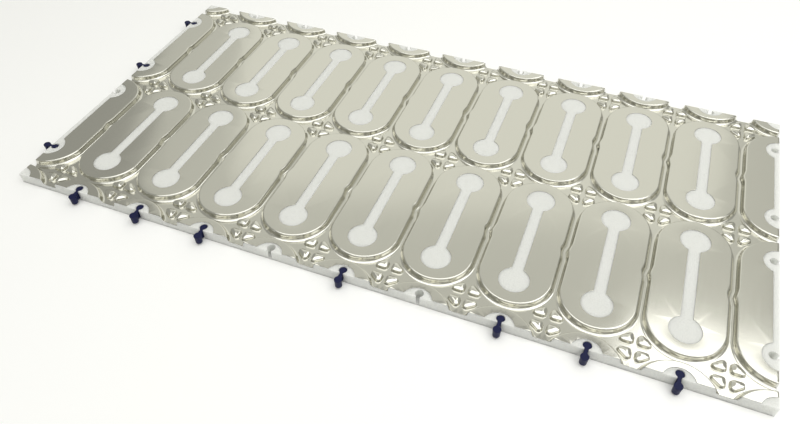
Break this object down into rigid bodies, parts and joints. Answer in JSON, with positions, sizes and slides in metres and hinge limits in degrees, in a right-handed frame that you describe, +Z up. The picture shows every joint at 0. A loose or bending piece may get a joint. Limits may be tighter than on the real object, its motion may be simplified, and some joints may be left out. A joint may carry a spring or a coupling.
{
  "type": "underfloor heating panel",
  "caption": "Dry-construction floor heating panel: foam board under a pressed aluminium sheet with oblong knobs and pipe grooves, with push-in edge connectors.",
  "frame": {"origin": "middle of the board's underside", "axes": "+X along the panel's length, +Y from the front edge with the seven connectors to the back edge, +Z up from the underside to the metal"},
  "size_m": [1.2675, 0.6425, 0.02],
  "materials": {
    "foam": "moulded expanded polystyrene, white",
    "aluminium": "rolled mill finish, pressed",
    "connector_plastic": "moulded plastic, very dark navy"
  },
  "bodies": {
    "panel": {"foam_board": "foam", "spreader_sheet": "aluminium"},
    "connector_front_1": {"connector_front_1": "connector_plastic"},
    "connector_front_2": {"connector_front_2": "connector_plastic"},
    "connector_front_3": {"connector_front_3": "connector_plastic"},
    "connector_front_5": {"connector_front_5": "connector_plastic"},
    "connector_front_7": {"connector_front_7": "connector_plastic"},
    "connector_front_8": {"connector_front_8": "connector_plastic"},
    "connector_front_9": {"connector_front_9": "connector_plastic"},
    "connector_left_1": {"connector_left_1": "connector_plastic"},
    "connector_left_3": {"connector_left_3": "connector_plastic"},
    "connector_left_4": {"connector_left_4": "connector_plastic"}
  },
  "joints": [
    {"name": "connector_front_1_pull", "type": "slide", "parent": "panel", "child": "connector_front_1", "axis": [0, 0, 1], "range_m": [0, 0.02]},
    {"name": "connector_front_2_pull", "type": "slide", "parent": "panel", "child": "connector_front_2", "axis": [0, 0, 1], "range_m": [0, 0.02]},
    {"name": "connector_front_3_pull", "type": "slide", "parent": "panel", "child": "connector_front_3", "axis": [0, 0, 1], "range_m": [0, 0.02]},
    {"name": "connector_front_5_pull", "type": "slide", "parent": "panel", "child": "connector_front_5", "axis": [0, 0, 1], "range_m": [0, 0.02]},
    {"name": "connector_front_7_pull", "type": "slide", "parent": "panel", "child": "connector_front_7", "axis": [0, 0, 1], "range_m": [0, 0.02]},
    {"name": "connector_front_8_pull", "type": "slide", "parent": "panel", "child": "connector_front_8", "axis": [0, 0, 1], "range_m": [0, 0.02]},
    {"name": "connector_front_9_pull", "type": "slide", "parent": "panel", "child": "connector_front_9", "axis": [0, 0, 1], "range_m": [0, 0.02]},
    {"name": "connector_left_1_pull", "type": "slide", "parent": "panel", "child": "connector_left_1", "axis": [0, 0, 1], "range_m": [0, 0.02]},
    {"name": "connector_left_3_pull", "type": "slide", "parent": "panel", "child": "connector_left_3", "axis": [0, 0, 1], "range_m": [0, 0.02]},
    {"name": "connector_left_4_pull", "type": "slide", "parent": "panel", "child": "connector_left_4", "axis": [0, 0, 1], "range_m": [0, 0.02]}
  ]
}
